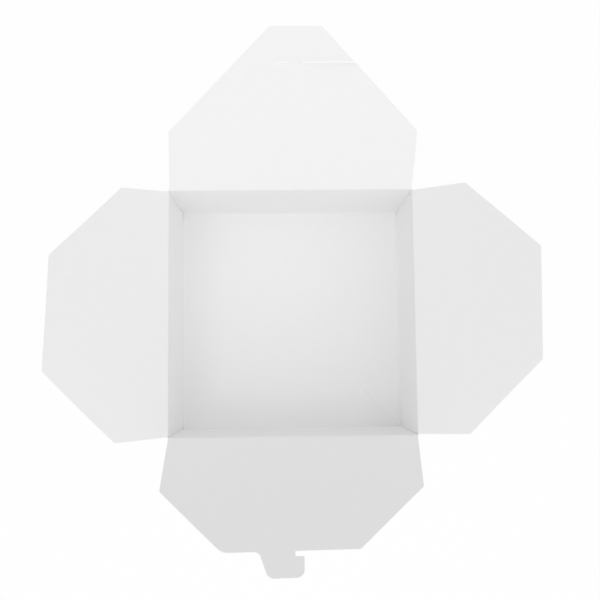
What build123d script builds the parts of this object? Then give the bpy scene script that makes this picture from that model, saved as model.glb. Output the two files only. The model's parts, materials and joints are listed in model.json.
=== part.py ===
from build123d import *
import os
from math import cos, radians, sin

# Folded paperboard takeaway box with four hinged closing flaps, shown open.
# Frame: origin at the centre of the underside, +Z up, front (tab flap) towards -Y, millimetres.

# Driving dimensions: the board and the tray
board = 0.45  # thickness of the paperboard
box_width = 140.0  # left to right, over the outer faces of the side walls
box_depth = 140.0  # front to back, over the outer faces of the front and back walls
side_wall_height = 65.0  # table to the folds of the side flaps
fold_radius = 0.5  # inside radius of the folds between floor and walls
web_drop = 3.5  # how far the glued corner webs stop below the side folds

# Driving dimensions: clearances
closed_clear = 0.3  # between flaps that lie on each other when closed
fold_clear = 0.3  # between a flap and the walls at its root and at both ends of its fold

# Driving dimensions: the flaps, each measured from its fold
side_meet_gap = 0.8  # between the two side flaps when closed
side_straight = 30.0  # straight part of the side flaps before the corner cuts
back_reach = 88.5
back_straight = 33.2
front_reach = 69.0
front_straight = 33.8
corner_round = 1.2  # outline corners of every flap

# Driving dimensions: how far each flap stands above level in the open box
left_lift = 35.0
right_lift = 28.0
back_lift = 25.0
front_lift = 42.0

# Driving dimensions: the hooked tab on the front flap, across from the flap's centreline
tab_left = 16.0  # start of the slanted left side
tab_slant = 5.0  # how far that side leans in over the tab's length
tab_length = 14.0
tab_neck = 1.9  # right edge of the neck beside the notch
tab_hook = 6.3  # right edge of the hook
notch_height = 2.1
tab_root_round = 5.0
tab_tip_round = 4.0
hook_round = 0.5

# Driving dimensions: the slit in the back flap that takes the tab
slit_reach = 70.0  # fold to slit
slit_left = 12.2  # closed end of the slit, left of the flap's centreline
slit_width = 0.4
slit_hook = 1.8  # short turn towards the fold at the closed end, which stops the slit from tearing

# Worked out from the values above
inner_width = box_width - 2 * board
inner_depth = box_depth - 2 * board
flap_step = board + closed_clear  # one closed flap lies this much above the next
back_wall_height = side_wall_height + flap_step
front_wall_height = back_wall_height + flap_step
web_top = side_wall_height - web_drop
web_thickness = 2 * board
side_flap_span = inner_depth - 2 * fold_clear
end_flap_span = inner_width - 2 * fold_clear
end_fold_length = box_width - 2 * (fold_radius + board)
side_reach = box_width / 2 - side_meet_gap / 2 - board / 2


def fold_plane(facing, half_span, wall_height):
    """Level plane on a fold's axis: X along the fold, Y outwards, Z up.

    facing is 0 for the back, 90 for the left, 180 for the front and 270 for the right.
    """
    turn = radians(facing)
    fold_distance = half_span - board / 2
    origin = (-sin(turn) * fold_distance, cos(turn) * fold_distance, wall_height - board / 2)
    return Plane(origin=origin, x_dir=(cos(turn), sin(turn), 0), z_dir=(0, 0, 1))


def flap_plane(fold, lift):
    """Plane of the outer face of a flap that stands lift degrees above level."""
    return Plane(fold.location * Rotation(lift, 0, 0)).offset(board / 2)


def flap_outline(span, straight, reach):
    """Flap with two straight sides and 45 degree corner cuts; it starts just past the wall's top."""
    root = board / 2 + fold_clear
    half_fold = span / 2
    half_end = half_fold - (reach - straight)
    with BuildSketch() as outline:
        with BuildLine():
            Polyline(
                (-half_fold, root),
                (half_fold, root),
                (half_fold, straight),
                (half_end, reach),
                (-half_end, reach),
                (-half_fold, straight),
                close=True,
            )
        make_face()
        fillet(outline.vertices().sort_by(Axis.Y)[2:], corner_round)
    return outline.sketch


left_fold = fold_plane(90, box_width / 2, side_wall_height)
right_fold = fold_plane(270, box_width / 2, side_wall_height)
back_fold = fold_plane(0, box_depth / 2, back_wall_height)
front_fold = fold_plane(180, box_depth / 2, front_wall_height)

# Tray: floor, four walls and the corner webs, all one folded and glued sheet
with BuildPart() as tray:
    with BuildSketch(Plane.XY):
        RectangleRounded(box_width, box_depth, fold_radius + board)
    extrude(amount=front_wall_height - board / 2)
    fillet(tray.edges().group_by(Axis.Z)[0], fold_radius + board)
    offset(amount=-board, openings=tray.faces().sort_by(Axis.Z)[-1])
    # The side walls end lowest, then the back wall, so that the closed flaps can lie on each other
    with BuildSketch(Plane.XY.offset(side_wall_height - board / 2)):
        Rectangle(box_width, inner_depth)
    extrude(amount=front_wall_height, mode=Mode.SUBTRACT)
    with BuildSketch(Plane.XY.offset(back_wall_height - board / 2)):
        with Locations((0, box_depth / 2)):
            Rectangle(box_width, box_depth)
    extrude(amount=front_wall_height, mode=Mode.SUBTRACT)
    # The tops of the walls are round where the board bends into the flaps
    for fold, fold_length in (
        (left_fold, inner_depth),
        (right_fold, inner_depth),
        (back_fold, end_fold_length),
        (front_fold, end_fold_length),
    ):
        with BuildSketch(Plane(fold.origin, z_dir=fold.x_dir)):
            Circle(board / 2)
        extrude(amount=fold_length / 2, both=True)
    # Corner webs: a square corner of the blank, folded on its diagonal and glued flat to a side wall
    for web_face in (-box_width / 2 - web_thickness, box_width / 2):
        with BuildSketch(Plane.YZ.offset(web_face)):
            for end in (-1, 1):
                corner = end * box_depth / 2
                with BuildLine():
                    Polyline(
                        (corner, 0),
                        (corner, web_top),
                        (corner - end * web_top, web_top),
                        close=True,
                    )
                make_face()
        extrude(amount=web_thickness)
tray.part.label = "tray"

# Side flaps: plain, they close first
with BuildPart() as left_flap:
    with BuildSketch(flap_plane(left_fold, left_lift)):
        add(flap_outline(side_flap_span, side_straight, side_reach))
    extrude(amount=board)
left_flap.part.label = "left_flap"

with BuildPart() as right_flap:
    with BuildSketch(flap_plane(right_fold, right_lift)):
        add(flap_outline(side_flap_span, side_straight, side_reach))
    extrude(amount=board)
right_flap.part.label = "right_flap"

# Back flap: the longest, with a slit across it that runs out through its right-hand corner cut
with BuildPart() as back_flap:
    with BuildSketch(flap_plane(back_fold, back_lift)):
        add(flap_outline(end_flap_span, back_straight, back_reach))
        with BuildLine():
            Polyline(
                (-slit_left, slit_reach - slit_hook),
                (-slit_left + slit_hook, slit_reach),
                (box_width / 2, slit_reach),
            )
        trace(line_width=slit_width, mode=Mode.SUBTRACT)
    extrude(amount=board)
back_flap.part.label = "back_flap"

# Front flap: closes last, and its hooked tab goes into the slit. Its plane's X runs to the left.
with BuildPart() as front_flap:
    with BuildSketch(flap_plane(front_fold, front_lift)):
        add(flap_outline(end_flap_span, front_straight, front_reach))
        tab_end = front_reach + tab_length
        tab_start = tab_left + 2 * tab_root_round
        notch_end = front_reach + notch_height
        with BuildLine():
            tab_edge = FilletPolyline(
                (tab_start, front_reach),
                (tab_left, front_reach),
                (tab_left - tab_slant, tab_end),
                (-tab_hook, tab_end),
                (-tab_hook, notch_end),
                (-tab_neck, notch_end),
                (-tab_neck, front_reach - board),
                radius=[tab_root_round, tab_tip_round, tab_tip_round, hook_round, hook_round],
            )
            Polyline(tab_edge @ 1, (tab_start, front_reach - board), tab_edge @ 0)
        make_face()
    extrude(amount=board)
front_flap.part.label = "front_flap"

os.makedirs("parts", exist_ok=True)
for sub_part in (tray, left_flap, right_flap, back_flap, front_flap):
    export_step(sub_part.part, f"parts/{sub_part.part.label}.step")
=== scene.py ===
"""Folded white paperboard takeaway box, standing open, with four flaps that close over each other."""

import json
from math import cos, exp, pi, radians, sin, sqrt, tan

import bmesh
import bpy
from mathutils import Matrix, Vector


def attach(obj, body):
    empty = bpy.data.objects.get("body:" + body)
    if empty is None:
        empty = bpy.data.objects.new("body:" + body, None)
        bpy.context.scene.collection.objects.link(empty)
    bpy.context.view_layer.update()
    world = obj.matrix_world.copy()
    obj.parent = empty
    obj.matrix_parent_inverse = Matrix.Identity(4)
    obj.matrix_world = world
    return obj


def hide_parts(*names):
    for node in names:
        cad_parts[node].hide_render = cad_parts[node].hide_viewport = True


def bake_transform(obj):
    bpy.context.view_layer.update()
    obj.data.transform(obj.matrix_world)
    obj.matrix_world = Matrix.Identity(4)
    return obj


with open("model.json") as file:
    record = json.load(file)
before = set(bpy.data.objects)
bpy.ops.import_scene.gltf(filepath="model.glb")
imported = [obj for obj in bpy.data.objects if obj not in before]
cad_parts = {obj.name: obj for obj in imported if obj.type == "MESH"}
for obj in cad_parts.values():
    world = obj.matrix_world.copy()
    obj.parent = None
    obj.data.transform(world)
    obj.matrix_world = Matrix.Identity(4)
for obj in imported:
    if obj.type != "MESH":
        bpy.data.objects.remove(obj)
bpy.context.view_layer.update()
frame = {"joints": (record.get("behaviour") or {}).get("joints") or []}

# ---- Sizes, in metres ----
MM = 0.001
UP = Vector((0, 0, 1))

# The sheet: board with a hair of air between glued layers
BOARD = 0.45 * MM
SHEET = BOARD - 0.02 * MM
EDGE_SOFT = 0.05 * MM  # wear along the cut edges
PANEL_CELL = 5.0 * MM  # spacing of the cuts that let a panel bow
SCORE_WELD = 0.03 * MM  # crossings of cuts nearer than this are one point
SHORT_EDGE = SCORE_WELD / 4  # edges and faces thinner than this are closed up

# Folds between floor and walls, and at the corner webs
FLOOR_BEND = 0.5 * MM + BOARD / 2
FLOOR_ARC = FLOOR_BEND * pi / 2
WEB_TURN = BOARD / 2  # the side wall's board doubles back on itself here
WEB_TURN_ARC = WEB_TURN * pi
WEB_DROP = 3.5 * MM  # from the side folds down to the top of the webs

# The flaps: strip over the wall's top, then the panel
STRIP_BELOW = 0.6 * MM  # how far the bending strip reaches down the wall
FLAP_BEND = 0.5 * MM
CORNER_ROUND = 1.2 * MM
SIDE_STRAIGHT = 30.0 * MM
BACK_REACH = 88.5 * MM
BACK_STRAIGHT = 33.2 * MM
FRONT_REACH = 69.0 * MM
FRONT_STRAIGHT = 33.8 * MM
FOLD_CLEAR = 0.3 * MM  # from each end of a fold to the wall beside it
SIDE_MEET = 0.4 * MM  # from the closed side flaps' tips to the box's middle
PAST_BEND = (0.3 * MM, 0.7 * MM)  # extra cuts across the flap just past its bend
LEAN_EARLY = 0.6  # how much more a flap leans near its fold than near its tip

# The folds, as the frame holds them: where, along which line, outwards, and how far the flap stands up
folds = {}
for joint in frame["joints"]:
    along = Vector(joint["axis"])
    folds[joint["child"]] = {
        "at": Vector(joint["pos_m"]),
        "along": along,
        "out": UP.cross(along),
        "lift": radians(180 - joint["range_deg"][1]),
    }

half_width = abs(folds["left_flap"]["at"].x)  # to the middle of the side walls' board
half_depth = abs(folds["back_flap"]["at"].y)
floor_x = half_width - FLOOR_BEND  # where the floor starts to bend up
floor_y = half_depth - FLOOR_BEND
flat_per_metre = 10.0  # the sheet's own map: one unit is 100 mm of flat board


# ---- Sheet work ----
def everything(bm):
    return bm.verts[:] + bm.edges[:] + bm.faces[:]


def touching(faces):
    """The faces with their edges and corners."""
    found = set(faces)
    for face in faces:
        found.update(face.edges)
        found.update(face.verts)
    return list(found)


def score(bm, geom, point, across):
    """Cuts the sheet along the line through point, square to across."""
    bmesh.ops.bisect_plane(bm, geom=geom, dist=1e-8, plane_co=point, plane_no=across)


def round_corner(bm, corner, radius):
    """Rounds one corner of the sheet's outline."""
    first, second = [edge.other_vert(corner).co - corner.co for edge in corner.link_edges]
    turn = pi - first.angle(second)
    bmesh.ops.bevel(
        bm,
        geom=[corner],
        offset=radius * tan(turn / 2),
        offset_type="OFFSET",
        affect="VERTICES",
        segments=max(2, round(4 * turn / (pi / 4))),
        profile=0.5,
        material=-1,
    )


def map_sheet(bm, place):
    """Stores where each point lies on the flat blank, so that the board's finish follows its folds."""
    layer = bm.loops.layers.uv.new("sheet")
    for face in bm.faces:
        for loop in face.loops:
            spot = place(loop.vert.co)
            loop[layer].uv = (spot[0] * flat_per_metre, spot[1] * flat_per_metre)


def tidy_scores(bm):
    """Joins points where cuts cross almost at the same place, so fewer sliver faces are left."""
    bmesh.ops.remove_doubles(bm, verts=bm.verts, dist=SCORE_WELD)
    bmesh.ops.dissolve_degenerate(bm, edges=bm.edges, dist=SHORT_EDGE)


def make_board(name, bm):
    """Turns a folded sheet into board: thickness, softened cut edges and both finishes."""
    for face in bm.faces:
        face.smooth = True
    mesh = bpy.data.meshes.new(name)
    bm.to_mesh(mesh)
    bm.free()
    piece = bpy.data.objects.new(name, mesh)
    bpy.context.scene.collection.objects.link(piece)
    mesh.materials.append(coated_board)
    mesh.materials.append(cut_edge)
    thick = piece.modifiers.new("board", "SOLIDIFY")
    thick.thickness = SHEET
    thick.offset = 0
    thick.use_even_offset = True
    thick.material_offset_rim = 1
    soft = piece.modifiers.new("worn edge", "BEVEL")
    soft.width = EDGE_SOFT
    soft.segments = 2
    soft.limit_method = "ANGLE"
    soft.angle_limit = radians(50)
    soft.harden_normals = True
    return piece


def ease(x, start, end):
    """0 before start, 1 after end, and smooth between them."""
    t = min(1.0, max(0.0, (x - start) / (end - start)))
    return t * t * (3 - 2 * t)


# ---- Finishes ----
def node(tree, kind, **values):
    made = tree.nodes.new("ShaderNode" + kind)
    for key, value in values.items():
        if hasattr(made, key):
            setattr(made, key, value)
        else:
            made.inputs[key.replace("_", " ")].default_value = value
    return made


def new_finish(name):
    made = bpy.data.materials.new(name)
    made.use_nodes = True
    tree = made.node_tree
    tree.nodes.clear()
    shader = tree.nodes.new("ShaderNodeBsdfPrincipled")
    output = tree.nodes.new("ShaderNodeOutputMaterial")
    tree.links.new(shader.outputs[0], output.inputs["Surface"])
    return made, tree, shader


def sheet_noise(tree, size, stretch=(1, 1), detail=2.0, rough=0.5):
    """Cloudy pattern on the flat sheet. size is the width of its spots in metres."""
    flat = node(tree, "UVMap", uv_map="sheet")
    turned = node(tree, "Mapping")
    turned.inputs["Scale"].default_value = (stretch[0], stretch[1], 1)
    pattern = node(tree, "TexNoise")
    pattern.inputs["Scale"].default_value = 1 / (size * flat_per_metre)
    pattern.inputs["Detail"].default_value = detail
    pattern.inputs["Roughness"].default_value = rough
    tree.links.new(flat.outputs["UV"], turned.inputs["Vector"])
    tree.links.new(turned.outputs["Vector"], pattern.inputs["Vector"])
    return pattern.outputs["Fac"]


def spread(tree, value, low, high, start=0.3, end=0.7):
    """Takes a pattern's start..end to low..high."""
    made = node(tree, "MapRange")
    for key, number in (("From Min", start), ("From Max", end), ("To Min", low), ("To Max", high)):
        made.inputs[key].default_value = number
    tree.links.new(value, made.inputs["Value"])
    return made.outputs["Result"]


def blend_colours(tree, share, first, second):
    made = node(tree, "Mix", data_type="RGBA")
    made.inputs[6].default_value = (*first, 1)
    made.inputs[7].default_value = (*second, 1)
    tree.links.new(share, made.inputs[0])
    return made.outputs[2]


def add_bump(tree, shader, height, depth, strength, under=None):
    made = node(tree, "Bump")
    made.inputs["Distance"].default_value = depth
    made.inputs["Strength"].default_value = strength
    tree.links.new(height, made.inputs["Height"])
    if under is not None:
        tree.links.new(under, made.inputs["Normal"])
    tree.links.new(made.outputs["Normal"], shader.inputs["Normal"])
    return made.outputs["Normal"]


BOARD_SHADES = ((0.934, 0.934, 0.932), (0.944, 0.944, 0.943))
EDGE_SHADES = ((0.88, 0.875, 0.865), (0.92, 0.918, 0.912))


def make_coated_board():
    """White board with a thin satin coating: cloudy fibre, faint grain along the web, uneven gloss."""
    made, tree, shader = new_finish("white_board")
    cloud = sheet_noise(tree, 7 * MM, stretch=(1, 1.6), detail=4)
    shade = blend_colours(tree, spread(tree, cloud, 0, 1), *BOARD_SHADES)
    tree.links.new(shade, shader.inputs["Base Color"])
    gloss = sheet_noise(tree, 2.2 * MM, stretch=(1, 2), detail=3)
    tree.links.new(spread(tree, gloss, 0.44, 0.54), shader.inputs["Roughness"])
    shader.inputs["IOR"].default_value = 1.46
    peel = sheet_noise(tree, 3 * MM, detail=2)
    fibre = sheet_noise(tree, 0.35 * MM, stretch=(1, 5), detail=3, rough=0.6)
    soft = add_bump(tree, shader, peel, 0.012 * MM, 0.5)
    add_bump(tree, shader, fibre, 0.006 * MM, 0.5, under=soft)
    return made


def make_cut_edge():
    """The board's bare core where it was cut: matt, a little warmer, with fibres along the cut."""
    made, tree, shader = new_finish("cut_edge")
    cloud = sheet_noise(tree, 1.2 * MM, detail=3)
    shade = blend_colours(tree, spread(tree, cloud, 0, 1), *EDGE_SHADES)
    tree.links.new(shade, shader.inputs["Base Color"])
    shader.inputs["Roughness"].default_value = 0.85
    fibre = sheet_noise(tree, 0.2 * MM, detail=3)
    add_bump(tree, shader, fibre, 0.02 * MM, 0.5)
    return made


coated_board = make_coated_board()
cut_edge = make_cut_edge()


# ---- Tray: one blank, scored, cut and folded up, with its corners doubled back on the side walls ----
def rise(length):
    """(outwards, up) after going this far along the board from where the floor starts to bend."""
    if length <= 0:
        return length, 0.0
    if length < FLOOR_ARC:
        angle = length / FLOOR_BEND
        return FLOOR_BEND * sin(angle), FLOOR_BEND * (1 - cos(angle))
    return FLOOR_BEND, FLOOR_BEND + length - FLOOR_ARC


def run_to(height):
    """How far along the board from the start of the floor's bend a wall reaches this height."""
    return FLOOR_ARC + height - BOARD / 2 - FLOOR_BEND


WRAP_BEND = FLOOR_BEND + 2 * BOARD - FLOOR_ARC  # an end wall turns this tightly round the corner
WRAP_ARC = WRAP_BEND * pi / 2
FOLD_SHARE = sqrt(2) * WEB_TURN_ARC  # the web's diagonal fold, measured along a wall

side_top = run_to(folds["left_flap"]["at"].z - STRIP_BELOW)
back_top = run_to(folds["back_flap"]["at"].z - STRIP_BELOW)
front_top = run_to(folds["front_flap"]["at"].z - STRIP_BELOW)
web_top = run_to(folds["left_flap"]["at"].z + BOARD / 2 - WEB_DROP)
end_wall_past = 0.75 * FLOOR_ARC  # above the webs the end walls stop here, past the floor

# The diagonal fold lies where both layers of the web run out at the same line
diagonal = (
    3 * FLOOR_BEND - WRAP_BEND + WRAP_ARC - FLOOR_ARC + WEB_TURN_ARC + FOLD_SHARE
) / 2
fold_top = diagonal - (2 * FLOOR_BEND - WRAP_BEND + WRAP_ARC)
fold_low = fold_top - FOLD_SHARE


def outer_layer(past, height):
    """Outer layer of a web: the end wall goes on round the corner and along the side wall."""
    out, up = rise(height)
    wrapped = past - FLOOR_ARC
    if wrapped <= 0:
        return Vector((past, out, up))
    if wrapped < WRAP_ARC:
        angle = wrapped / WRAP_BEND
        return Vector((FLOOR_ARC + WRAP_BEND * sin(angle), out - WRAP_BEND * (1 - cos(angle)), up))
    return Vector((FLOOR_ARC + WRAP_BEND, out - WRAP_BEND - (wrapped - WRAP_ARC), up))


def inner_layer(height, past):
    """Inner layer of a web: the side wall's board doubles back on its outer face."""
    out, up = rise(height)
    if past < WEB_TURN_ARC:
        angle = past / WEB_TURN
        return Vector((out + WEB_TURN * (1 - cos(angle)), WEB_TURN * sin(angle), up))
    return Vector((out + 2 * WEB_TURN, WEB_TURN_ARC - past, up))


def web(over_x, over_y):
    """Place of a point of the blank's corner square, from the corner of the flat floor."""
    lead = over_y - over_x
    if lead >= fold_top:
        return outer_layer(over_x, over_y)
    if lead <= fold_low:
        return inner_layer(over_x, over_y)
    middle = (over_x + over_y) / 2
    outer = outer_layer(middle - fold_top / 2, middle + fold_top / 2)
    inner = inner_layer(middle - fold_low / 2, middle + fold_low / 2)
    share = (fold_top - lead) / FOLD_SHARE
    place = outer.lerp(inner, share)
    place.x = outer.x + (inner.x - outer.x) * (1 - cos(pi * share)) / 2
    return place - Vector((0, 1, 1)) * (WEB_TURN * sin(pi * share) / sqrt(2))


def fold_up(point):
    """Place in the folded tray of a point of the flat blank."""
    side = Vector((1 if point.x > 0 else -1, 1 if point.y > 0 else -1))
    over_x = abs(point.x) - floor_x
    over_y = abs(point.y) - floor_y
    if over_x > 0 and over_y > 0:
        place = web(over_x, over_y)
    elif over_x > 0:
        out, up = rise(over_x)
        place = Vector((out, over_y, up))
    else:
        out, up = rise(over_y)
        place = Vector((over_x, out, up))
    return Vector((side.x * (floor_x + place.x), side.y * (floor_y + place.y), BOARD / 2 + place.z))


WALL_BOW = 0.35 * MM
BOW_MORE = 4 * MM  # the bow's wave is this much longer than the panel
OFF_FLOOR = 0.2 * MM  # a point this far past the floor belongs to a wall
FLOOR_BOW = 0.25 * MM
CREASE_RUN = 40 * MM  # the pressed line across the floor's front right corner
CREASE_STEP = 0.8 * MM  # the board steps down here towards the back, over this width
CREASE_WIDTH = 0.65 * MM
CREASE_FADE = 6.5 * MM  # and in front of the line it settles over this distance
CREASE_START = 6 * MM  # the line deepens over this distance from the corner
CREASE_END = 12 * MM  # and dies away over this distance at its other end
CREASE_CUTS = (-24, -15, -8, -4, -2, -0.5, -0.25, 0, 0.25, 0.5)  # places of the cuts beside it, in widths


def relax(point):
    """Board never stays dead flat: walls bow out a little and the floor lifts in its middle."""
    x, y, z = point
    across = cos(pi * x / (2 * half_width + BOW_MORE))
    along = cos(pi * y / (2 * half_depth + BOW_MORE))
    high = sin(pi * min(1.0, z / side_top))
    moved = point.copy()
    if abs(x) > floor_x + OFF_FLOOR:
        moved.x += (1 if x > 0 else -1) * WALL_BOW * high * max(0.0, along)
    if abs(y) > floor_y + OFF_FLOOR:
        moved.y += (1 if y > 0 else -1) * WALL_BOW * high * max(0.0, across)
    if z < BOARD and abs(x) < floor_x and abs(y) < floor_y:
        moved.z += FLOOR_BOW * across * along
        moved.z += corner_crease(x, y)
    return moved


def corner_crease(x, y):
    """Height of the diagonal line pressed into the floor near its front right corner."""
    reach = (floor_x - x + floor_y + y) / sqrt(2)
    off = (x + y) / sqrt(2)
    fade = ease(reach, 0, CREASE_START) * (1 - ease(reach, CREASE_RUN - CREASE_END, CREASE_RUN))
    step = 1 - ease(off, -CREASE_WIDTH / 2, CREASE_WIDTH / 2)
    return fade * CREASE_STEP * step * exp(min(0.0, off) / CREASE_FADE)


def build_tray():
    bm = bmesh.new()
    wide = floor_x + side_top
    deep = floor_y + front_top
    blank = [(-wide, -deep, 0), (wide, -deep, 0), (wide, deep, 0), (-wide, deep, 0)]
    bm.faces.new([bm.verts.new(corner) for corner in blank])

    cells = round(2 * floor_x / PANEL_CELL)
    across = [floor_x * (2 * k / cells - 1) for k in range(cells + 1)]
    bends = [FLOOR_ARC * k / 4 for k in range(1, 5)]
    wraps = [FLOOR_ARC + WRAP_ARC * k / 4 for k in range(1, 5)]
    turns = [WEB_TURN_ARC * k / 4 for k in range(1, 5)]
    heights = [FLOOR_ARC + PANEL_CELL * k for k in range(1, round(web_top / PANEL_CELL))] + [web_top]
    columns = across + [s * (floor_x + t) for t in bends + wraps + heights for s in (-1, 1)]
    rows = across + [s * (floor_y + t) for t in bends + turns + heights for s in (-1, 1)]
    rows.append(floor_y + back_top)
    for x in columns:
        score(bm, everything(bm), (x, 0, 0), (1, 0, 0))
    for y in rows:
        score(bm, everything(bm), (0, y, 0), (0, 1, 0))

    # Cut away what isn't part of the blank
    waste = []
    for face in bm.faces:
        middle = face.calc_center_median()
        over_x = abs(middle.x) - floor_x
        over_y = abs(middle.y) - floor_y
        end_top = back_top if middle.y > 0 else front_top
        in_web = max(over_x, over_y) < web_top
        in_end_wall = over_y < end_top and over_x < end_wall_past
        in_side_wall = over_x < side_top and over_y < 0
        if not (in_web or in_end_wall or in_side_wall):
            waste.append(face)
    bmesh.ops.delete(bm, geom=waste, context="FACES")

    # Score the webs on their diagonals
    for side_x in (-1, 1):
        for side_y in (-1, 1):
            for k in range(5):
                square = [
                    face
                    for face in bm.faces
                    if side_x * face.calc_center_median().x > floor_x
                    and side_y * face.calc_center_median().y > floor_y
                ]
                lead = fold_low + FOLD_SHARE * k / 4
                start = (side_x * floor_x, side_y * (floor_y + lead), 0)
                score(bm, touching(square), start, (-side_x, side_y, 0))

    # The line pressed into the floor's front right corner
    for beside in [k * CREASE_WIDTH for k in CREASE_CUTS]:
        near = [
            face
            for face in bm.faces
            if floor_x - CREASE_RUN < face.calc_center_median().x < floor_x
            and -floor_y < face.calc_center_median().y < CREASE_RUN - floor_y
        ]
        score(bm, touching(near), (beside, 0, 0), (1, 1, 0))

    tidy_scores(bm)
    map_sheet(bm, lambda spot: (spot.x, spot.y))
    for corner in bm.verts:
        corner.co = relax(fold_up(corner.co))
    piece = make_board("tray_board", bm)
    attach(piece, "tray")
    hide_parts("tray")


build_tray()


# ---- Flaps: each one bends out of its wall's top ----
def strip_facts(lift):
    """Where the bend over the wall's top starts and ends, along the flap from the fold's axis."""
    turn = pi / 2 - lift
    bend_end = BOARD * tan(lift) + FLAP_BEND * tan(turn / 2)
    bend_start = bend_end - FLAP_BEND * turn
    end_out = bend_end * cos(lift) - BOARD * sin(lift)
    end_up = bend_end * sin(lift) + BOARD * cos(lift)
    centre = (end_out + FLAP_BEND * sin(lift), end_up - FLAP_BEND * cos(lift))
    bottom = bend_start - (centre[1] + STRIP_BELOW)
    return bend_start, bend_end, centre, bottom


def bend_out(flap, side, reach, lifted):
    """Place of a flat point: side along the fold, reach outwards from its axis, lifted off the panel."""
    fold = folds[flap]
    lift = fold["lift"]
    bend_start, bend_end, centre, _ = strip_facts(lift)
    if reach >= bend_end:
        out = reach * cos(lift) - (BOARD + lifted) * sin(lift)
        up = reach * sin(lift) + (BOARD + lifted) * cos(lift)
    elif reach > bend_start:
        angle = lift + (bend_end - reach) / FLAP_BEND
        out = centre[0] - FLAP_BEND * sin(angle)
        up = centre[1] + FLAP_BEND * cos(angle)
    else:
        out = 0.0
        up = centre[1] - (bend_start - reach)
    return fold["at"] + fold["along"] * side + fold["out"] * out + UP * up


def build_flap(name, outline, rounds, drift, warp, scores=()):
    """One flap from its flat outline, which lists (side, reach) anticlockwise from the fold's minus end.

    drift says how far the board runs out of square at the tip: sideways, longer, and longer on the plus side.
    scores are extra cuts across the flap that its warp needs.
    """
    fold = folds[name]
    bend_start, bend_end, _, bottom = strip_facts(fold["lift"])
    bm = bmesh.new()
    points = [(outline[0][0], bottom), (outline[1][0], bottom)] + list(outline[2:])
    corners = [bm.verts.new((side, reach, 0)) for side, reach in points]
    bm.faces.new(corners)
    for index, radius in rounds.items():
        round_corner(bm, corners[index], radius)
    tip = max(reach for _, reach in points)
    widest = max(side for side, _ in points)
    cells = round(2 * widest / PANEL_CELL)
    strip = [bend_start + (bend_end - bend_start) * k / 4 for k in range(5)]
    strip += [bottom + (bend_start - bottom) * k / 3 for k in (1, 2)]
    strip += [bend_end + past for past in PAST_BEND]
    strip += list(scores)
    for reach in strip + [bend_end + PANEL_CELL * k for k in range(1, int(tip / PANEL_CELL) + 1)]:
        score(bm, everything(bm), (0, reach, 0), (0, 1, 0))
    for k in range(1, cells):
        score(bm, everything(bm), (widest * (2 * k / cells - 1), 0, 0), (1, 0, 0))

    tidy_scores(bm)
    from_floor = floor_y + run_to(fold["at"].z)

    def on_blank(spot):
        flat = fold["out"] * (from_floor + spot.y) + fold["along"] * spot.x
        return flat.x, flat.y

    map_sheet(bm, on_blank)
    for corner in bm.verts:
        side, reach = corner.co.x, corner.co.y
        share = max(0.0, (reach - bend_end) / tip)
        sideways = drift[0] * share * (1 + LEAN_EARLY - LEAN_EARLY * share)
        longer = share * (drift[1] + drift[2] * side / widest)
        corner.co = bend_out(name, side + sideways, reach + longer, warp(side, reach))
    piece = make_board(name + "_board", bm)
    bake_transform(piece)
    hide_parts(name)


def trimmed_outline(span, straight, reach):
    """Flap with two straight sides and its outer corners cut off at 45 degrees."""
    half = span / 2
    half_end = half - (reach - straight)
    return [(-half, 0), (half, 0), (half, straight), (half_end, reach), (-half_end, reach), (-half, straight)]


side_span = 2 * (half_depth - BOARD / 2 - FOLD_CLEAR)
end_span = 2 * (half_width - BOARD / 2 - FOLD_CLEAR)
side_reach = half_width + BOARD / 2 - SIDE_MEET - BOARD / 2
plain_rounds = {corner: CORNER_ROUND for corner in (2, 3, 4, 5)}

# How far the tip bows up, and how far each side flap runs out of square
LEFT_BOW = 1.1 * MM
RIGHT_BOW = 0.4 * MM
LEFT_DRIFT = (-2.3 * MM, 0.3 * MM, -3.0 * MM)
RIGHT_DRIFT = (-1.3 * MM, 0.6 * MM, -1.5 * MM)


def left_warp(side, reach):
    return LEFT_BOW * (reach / side_reach) ** 2 * cos(pi * side / side_span)


def right_warp(side, reach):
    return RIGHT_BOW * (reach / side_reach) ** 2 * cos(pi * side / side_span)


side_outline = trimmed_outline(side_span, SIDE_STRAIGHT, side_reach)
build_flap("left_flap", side_outline, plain_rounds, LEFT_DRIFT, left_warp)
build_flap("right_flap", side_outline, plain_rounds, RIGHT_DRIFT, right_warp)

# Back flap: a slit from its right-hand corner cut takes the tab
SLIT_REACH = 70.0 * MM
SLIT_LEFT = -12.2 * MM
SLIT_HOOK = 1.8 * MM
SLIT_OPEN = 0.78 * MM  # at the mouth
SLIT_SHUT = 0.42 * MM  # at the closed end
NICKS = (-2.1 * MM, 2.3 * MM)  # the cut's lips still nearly touch here
NICK_HALF = 0.7 * MM  # half the length of a nick
NICK_END = 1.2 * MM  # from its middle to where the cut is open again
NICK_GAP = 0.02 * MM  # half the cut's width at a nick
HOOK_HALF = 0.08 * MM  # half the cut's width along its short hooked end, sideways
BACK_BOW = 0.5 * MM
BACK_DRIFT = (3.0 * MM, 0, 0)


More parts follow.
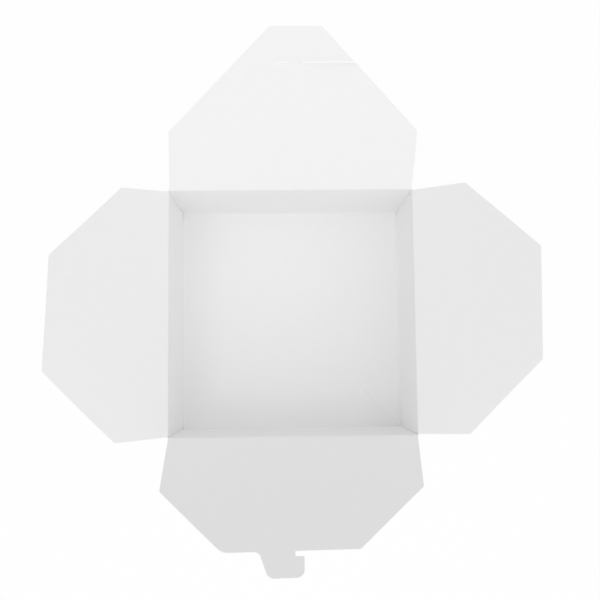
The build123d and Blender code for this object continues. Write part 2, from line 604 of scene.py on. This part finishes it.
def slit_outline():
    """The back flap's outline, going in along the slit's lower lip and out along its upper lip."""
    plain = trimmed_outline(end_span, BACK_STRAIGHT, BACK_REACH)
    half = end_span / 2
    mouth = half - (SLIT_REACH - BACK_STRAIGHT)

    def gap(side):
        return (SLIT_SHUT + (SLIT_OPEN - SLIT_SHUT) * ease(side, SLIT_LEFT, mouth)) / 2

    stops = [mouth, 20 * MM, 10 * MM]
    for nick in reversed(NICKS):
        stops += [nick + NICK_END, nick + NICK_HALF, nick, nick - NICK_HALF, nick - NICK_END]
    lower, upper = [], []
    for stop in stops:
        wide = NICK_GAP if min(abs(stop - nick) for nick in NICKS) < 1 * MM else gap(stop)
        lower.append((stop + (wide if stop == mouth else 0), SLIT_REACH - wide))
        upper.append((stop - (wide if stop == mouth else 0), SLIT_REACH + wide))
    turn_low = (SLIT_LEFT + SLIT_HOOK + 0.06 * MM, SLIT_REACH - gap(SLIT_LEFT))
    turn_high = (SLIT_LEFT + SLIT_HOOK, SLIT_REACH + gap(SLIT_LEFT))
    hook_low = (SLIT_LEFT + HOOK_HALF, SLIT_REACH - SLIT_HOOK - 0.05 * MM)
    hook_high = (SLIT_LEFT - HOOK_HALF, SLIT_REACH - SLIT_HOOK + 0.05 * MM)
    slit = lower + [turn_low, hook_low, hook_high, turn_high] + upper[::-1]
    return plain[:3] + slit + plain[3:], len(slit)


LIP_COVERED = 0.12 * MM  # where the closed tab or front flap covers the lips they stay nearly flat
LIP_DIP = 1.1 * MM  # the lip nearer the fold is pressed down along the cut
LIP_RISE = 0.12 * MM  # and the other lip stands up, less than the gap to the side flaps below it
LIP_RUN = 2.4 * MM
LIP_DECAY = 1.6  # the lips' bend falls by this power of e over LIP_RUN
NICK_HOLD = 0.8  # share of the bend that a nick takes away
LIP_FREE = 8.5 * MM  # to the right of here the closed tab leaves the lip uncovered
lip_scores = [SLIT_REACH + share * LIP_RUN for share in (-2.2, -1.4, -0.9, -0.55, -0.3, 0.3, 0.6, 1.2)]


def back_warp(side, reach):
    lifted = BACK_BOW * (reach / BACK_REACH) ** 2 * cos(pi * side / end_span)
    past = reach - SLIT_REACH
    along_cut = ease(side, SLIT_LEFT - 0.5 * MM, SLIT_LEFT + 2 * MM)
    near_nick = max(1 - ease(abs(side - nick), 0.8 * MM, 1.6 * MM) for nick in NICKS)
    if past < 0:
        dip = LIP_COVERED + (LIP_DIP - LIP_COVERED) * ease(side, LIP_FREE, LIP_FREE + 4 * MM)
        lifted -= dip * along_cut * (1 - NICK_HOLD * near_nick) * exp(LIP_DECAY * past / LIP_RUN)
    else:
        lifted += LIP_RISE * along_cut * (1 - NICK_HOLD * near_nick) * exp(-LIP_DECAY * past / LIP_RUN)
    return lifted


back_points, slit_count = slit_outline()
back_rounds = {corner: CORNER_ROUND for corner in (2, 3 + slit_count, 4 + slit_count, 5 + slit_count)}
build_flap("back_flap", back_points, back_rounds, BACK_DRIFT, back_warp, lip_scores)

# Front flap: the hooked tab goes into the slit. Its fold runs to the left, so the tab's root is at plus.
TAB_LEFT = 16.0 * MM
TAB_SLANT = 5.0 * MM
TAB_LENGTH = 14.0 * MM
TAB_NECK = 1.9 * MM
TAB_HOOK = 6.3 * MM
NOTCH = 2.9 * MM
BLUNT_CORNER = 7.0 * MM
TAB_ROOT_ROUND = 3.4 * MM
TAB_END_ROUND = 4.0 * MM
NOTCH_ROUND = 0.5 * MM
NOTCH_ROOT_ROUND = 0.3 * MM
FRONT_BOW = 0.28 * MM
FRONT_DRIFT = (2.1 * MM, 0.9 * MM, 1.3 * MM)


def tab_outline():
    plain = trimmed_outline(end_span, FRONT_STRAIGHT, FRONT_REACH)
    tab_end = FRONT_REACH + TAB_LENGTH
    notch_end = FRONT_REACH + NOTCH
    tab = [
        (TAB_LEFT, FRONT_REACH),
        (TAB_LEFT - TAB_SLANT, tab_end),
        (-TAB_HOOK, tab_end),
        (-TAB_HOOK, notch_end),
        (-TAB_NECK, notch_end),
        (-TAB_NECK, FRONT_REACH),
    ]
    return plain[:4] + tab + plain[4:]


def front_warp(side, reach):
    return FRONT_BOW * (reach / FRONT_REACH) ** 2 * cos(pi * side / end_span)


front_rounds = {
    2: CORNER_ROUND,
    3: BLUNT_CORNER,
    4: TAB_ROOT_ROUND,
    5: TAB_END_ROUND,
    6: TAB_END_ROUND,
    7: NOTCH_ROUND,
    8: NOTCH_ROUND,
    9: NOTCH_ROOT_ROUND,
    10: CORNER_ROUND,
    11: CORNER_ROUND,
}
build_flap("front_flap", tab_outline(), front_rounds, FRONT_DRIFT, front_warp)


# ---- Floor, light and camera ----
def camera_sees(tree):
    """1 for what the camera sees, straight or in a reflection."""
    path = tree.nodes.new("ShaderNodeLightPath")
    total = path.outputs["Is Camera Ray"]
    for name in ("Is Glossy Ray", "Is Transmission Ray"):
        add = node(tree, "Math", operation="ADD", use_clamp=True)
        tree.links.new(total, add.inputs[0])
        tree.links.new(path.outputs[name], add.inputs[1])
        total = add.outputs[0]
    return total


FLOOR_WHITE = 0.955  # share of plain white that the camera sees; the rest holds the shadow
FLOOR_HALF = 4.0  # metres from the floor's middle to its sides
FLOOR_PAINT = (0.95, 0.95, 0.95, 1)


def make_floor():
    bm = bmesh.new()
    bmesh.ops.create_grid(bm, x_segments=1, y_segments=1, size=FLOOR_HALF)
    mesh = bpy.data.meshes.new("floor")
    bm.to_mesh(mesh)
    bm.free()
    floor = bpy.data.objects.new("floor", mesh)
    bpy.context.scene.collection.objects.link(floor)
    made = bpy.data.materials.new("white_floor")
    made.use_nodes = True
    tree = made.node_tree
    tree.nodes.clear()
    paint = tree.nodes.new("ShaderNodeBsdfDiffuse")
    paint.inputs["Color"].default_value = FLOOR_PAINT
    white = tree.nodes.new("ShaderNodeEmission")
    white.inputs["Strength"].default_value = 1.0
    share = node(tree, "Math", operation="MULTIPLY")
    share.inputs[1].default_value = FLOOR_WHITE
    tree.links.new(camera_sees(tree), share.inputs[0])
    mix = tree.nodes.new("ShaderNodeMixShader")
    tree.links.new(share.outputs[0], mix.inputs[0])
    tree.links.new(paint.outputs[0], mix.inputs[1])
    tree.links.new(white.outputs[0], mix.inputs[2])
    output = tree.nodes.new("ShaderNodeOutputMaterial")
    tree.links.new(mix.outputs[0], output.inputs["Surface"])
    mesh.materials.append(made)


make_floor()

# A soft white dome over the box: even light, and broad softer light from some sides.
# (azimuth from the front going left, height above the floor in degrees, strength)
DOME_EVEN = 0.54
DOME_SIDES = [
    (0, 40, 0.34),
    (-45, 40, 0.20),
    (0, 90, 0.10),
]


def from_side(azimuth, height):
    """Direction towards a place in the studio."""
    turn, tilt = radians(azimuth), radians(height)
    return Vector((-sin(turn) * cos(tilt), -cos(turn) * cos(tilt), sin(tilt)))


def make_dome():
    world = bpy.data.worlds.new("studio")
    bpy.context.scene.world = world
    world.use_nodes = True
    tree = world.node_tree
    tree.nodes.clear()
    look = tree.nodes.new("ShaderNodeTexCoord")
    total = None
    for azimuth, height, strength in DOME_SIDES:
        facing = node(tree, "VectorMath", operation="DOT_PRODUCT")
        facing.inputs[1].default_value = from_side(azimuth, height)
        tree.links.new(look.outputs["Generated"], facing.inputs[0])
        near = node(tree, "Math", operation="MAXIMUM")
        near.inputs[1].default_value = 0
        tree.links.new(facing.outputs["Value"], near.inputs[0])
        add = node(tree, "Math", operation="MULTIPLY_ADD")
        add.inputs[1].default_value = strength
        add.inputs[2].default_value = DOME_EVEN
        tree.links.new(near.outputs[0], add.inputs[0])
        if total is not None:
            tree.links.new(total, add.inputs[2])
        total = add.outputs[0]
    soft = node(tree, "Background")
    soft.inputs["Color"].default_value = (1, 1, 1, 1)
    tree.links.new(total, soft.inputs["Strength"])
    white = node(tree, "Background")
    white.inputs["Color"].default_value = (1, 1, 1, 1)
    white.inputs["Strength"].default_value = 1.0
    mix = tree.nodes.new("ShaderNodeMixShader")
    tree.links.new(camera_sees(tree), mix.inputs[0])
    tree.links.new(soft.outputs[0], mix.inputs[1])
    tree.links.new(white.outputs[0], mix.inputs[2])
    output = tree.nodes.new("ShaderNodeOutputWorld")
    tree.links.new(mix.outputs[0], output.inputs["Surface"])


# Softboxes: (name, azimuth, height, width of the lamp, strength)
LAMPS = [
    ("front_left_softbox", 45, 68, 0.4, 1.3),
]
LAMP_DISTANCE = 2.0


def make_lamps():
    for name, azimuth, height, size, strength in LAMPS:
        lamp = bpy.data.lights.new(name, "AREA")
        lamp.shape = "DISK"
        lamp.size = size
        lamp.energy = strength
        holder = bpy.data.objects.new(name, lamp)
        towards = from_side(azimuth, height)
        holder.location = towards * LAMP_DISTANCE
        holder.rotation_mode = "QUATERNION"
        holder.rotation_quaternion = towards.to_track_quat("Z", "Y")
        bpy.context.scene.collection.objects.link(holder)


make_dome()
make_lamps()

# The camera looks down into the box from just in front of its middle
CAMERA_PLACE = Vector((-4.27, -32.64, 506.0)) * MM
CAMERA_TURNS = (-0.543, 5.085, -1.094)  # about Z, then X, then Y, in degrees
CAMERA_SENSOR = 36  # in millimetres, like the lens
CAMERA_LENS = 46.96
LIGHT_TURNS = 12  # light goes round a white box many times
camera = bpy.data.cameras.new("camera")
camera.sensor_width = CAMERA_SENSOR
camera.lens = CAMERA_LENS
camera.clip_start = 0.01
camera_holder = bpy.data.objects.new("camera", camera)
turned = (
    Matrix.Rotation(radians(CAMERA_TURNS[0]), 4, "Z")
    @ Matrix.Rotation(radians(CAMERA_TURNS[1]), 4, "X")
    @ Matrix.Rotation(radians(CAMERA_TURNS[2]), 4, "Y")
)
camera_holder.matrix_world = Matrix.Translation(CAMERA_PLACE) @ turned
bpy.context.scene.collection.objects.link(camera_holder)
bpy.context.scene.camera = camera_holder
bpy.context.scene.view_settings.view_transform = "Standard"
bpy.context.scene.cycles.diffuse_bounces = LIGHT_TURNS
